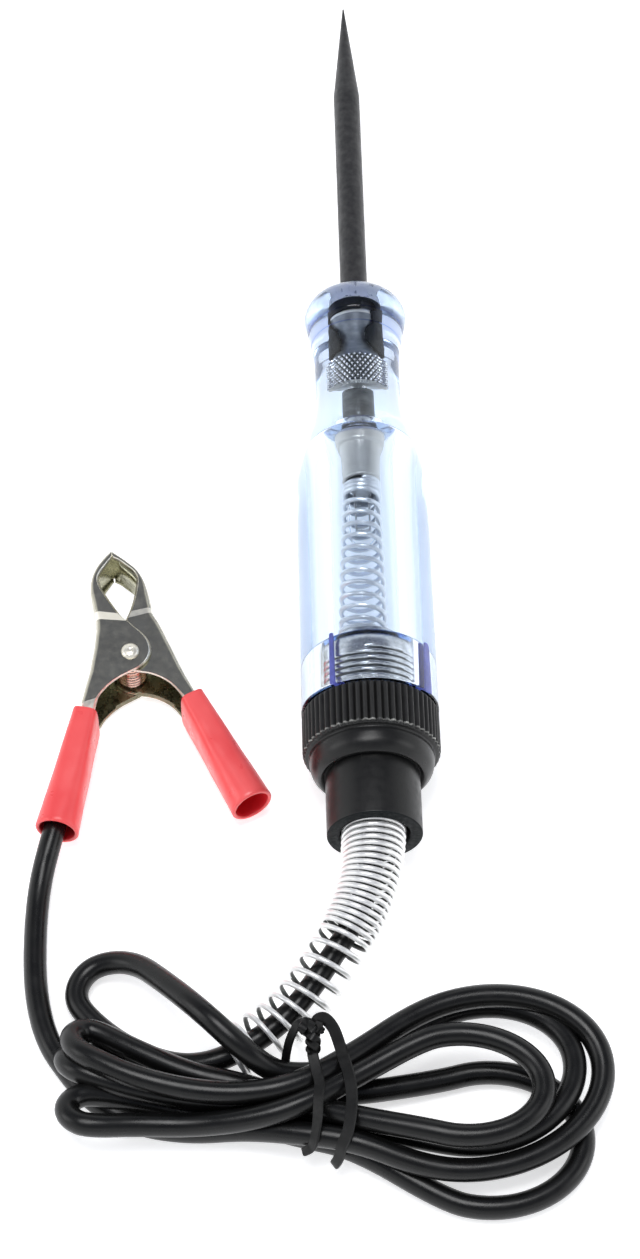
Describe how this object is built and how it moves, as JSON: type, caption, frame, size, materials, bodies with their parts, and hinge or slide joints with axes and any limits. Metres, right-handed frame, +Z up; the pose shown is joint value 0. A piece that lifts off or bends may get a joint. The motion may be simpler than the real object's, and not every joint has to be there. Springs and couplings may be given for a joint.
{
  "type": "circuit test light",
  "caption": "Hand-held lamp tester with a pointed probe, a clear screw-on handle round a small bulb, and a tied cord that ends in a spring clip.",
  "frame": {"origin": "on the floor, under the middle of the tester's length, cord and clip left out", "axes": "+Y along the tester's own axis from the cap to the probe's tip, +Z up, the clip and most of the cord on the -X side"},
  "size_m": [0.0801, 0.2134, 0.0196],
  "materials": {
    "clear_plastic": "clear moulded plastic with a pale blue tint",
    "black_steel": "matt black oxide on steel",
    "nickel": "bright nickel plate",
    "dark_metal": "dark plated metal",
    "black_rubber": "matt black",
    "solder": "dull solder",
    "black_insulator": "matt black",
    "bulb_glass": "clear glass",
    "tungsten": "grey wire",
    "spring_steel": "bright plated wire",
    "black_plastic": "satin black moulding",
    "copper": "bare copper strands",
    "cord_pvc": "glossy black vinyl",
    "tie_plastic": "satin black plastic",
    "clip_chrome": "polished nickel plate with dark reflections",
    "red_vinyl": "satin bright red vinyl"
  },
  "bodies": {
    "root": {"knurled_cap": "black_plastic", "threaded_sleeve": "nickel", "terminal_insulator": "black_insulator", "cord_terminal": "nickel", "cord_conductor": "copper", "contact_spring": "spring_steel", "strain_relief_spring": "spring_steel", "cord_lead": "cord_pvc", "cord_hank": "cord_pvc", "cord_tie": "tie_plastic", "cord_clip_lead": "cord_pvc", "clip_fixed_jaw": "clip_chrome", "clip_rivet_pin": "clip_chrome", "clip_spring": "spring_steel", "clip_sleeve_fixed": "red_vinyl", "clip_lead_crimp": "clip_chrome", "clip_conductor": "copper"},
    "bulb": {"bulb_tip": "solder", "bulb_insulator": "black_insulator", "bulb_base": "nickel", "bulb_glass": "bulb_glass", "bulb_filament": "tungsten"},
    "handle": {"handle_body": "clear_plastic", "probe_rod": "black_steel", "knurled_insert": "nickel", "probe_seal": "black_rubber", "probe_contact": "dark_metal"},
    "clip_jaw": {"clip_moving_jaw": "clip_chrome", "clip_sleeve_moving": "red_vinyl"}
  },
  "joints": [
    {"name": "bulb_follow", "type": "slide", "parent": "root", "child": "bulb", "axis": [0, 1, 0], "range_m": [0, 0.005], "deforming": ["contact_spring"]},
    {"name": "handle_turn", "type": "hinge", "parent": "bulb", "child": "handle", "pos_m": [0, -0.0551, 0.0098], "axis": [0, 1, 0], "range_deg": [0, 1800]},
    {"name": "jaw_open", "type": "hinge", "parent": "root", "child": "clip_jaw", "pos_m": [-0.0342, -0.0477, 0.00455], "axis": [0, 0, -1], "range_deg": [0, 34], "stiffness_Nm_per_rad": 0.05, "springref_deg": -34.38, "deforming": ["clip_spring"]}
  ],
  "couplings": [
    {"joint": "handle_turn", "follows": "bulb_follow", "rad_per_m": 6283.1}
  ]
}
